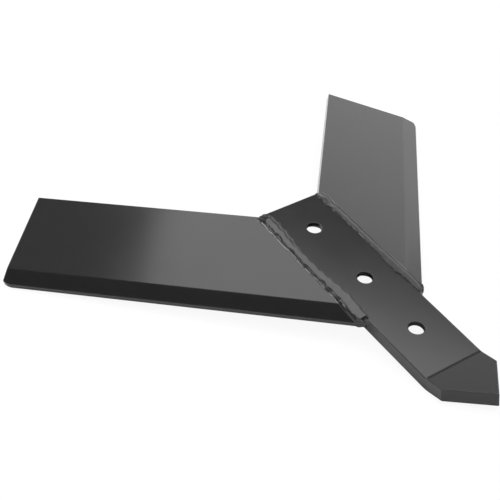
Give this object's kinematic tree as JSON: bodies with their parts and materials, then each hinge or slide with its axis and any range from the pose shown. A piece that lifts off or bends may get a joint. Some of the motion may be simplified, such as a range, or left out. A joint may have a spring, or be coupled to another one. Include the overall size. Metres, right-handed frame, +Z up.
{
  "type": "cultivator wing share",
  "caption": "Flat bar bent up to a point, with countersunk bolt holes, and a swept-back bevelled wing welded to each side, sloping down to its outer end.",
  "frame": {"origin": "on the ground under the middle of the bounding box of the share as it lies, resting on the underside of its bend and on the outer front corners of its wings", "axes": "+Z up from the ground; -Y the direction of travel, towards the point; +X towards the left wing, across the span, which is the longest extent"},
  "size_m": [0.4932, 0.454, 0.0524],
  "materials": {
    "bar_paint": "satin black paint on rolled flat bar",
    "wing_paint": "satin black paint on bevelled steel strip",
    "weld_paint": "satin black paint over a hand-laid weld bead"
  },
  "bodies": {
    "root": {"centre_bar": "bar_paint", "left_wing": "wing_paint", "right_wing": "wing_paint", "left_top_weld": "weld_paint", "right_top_weld": "weld_paint", "left_under_weld": "weld_paint", "right_under_weld": "weld_paint"}
  },
  "joints": []
}
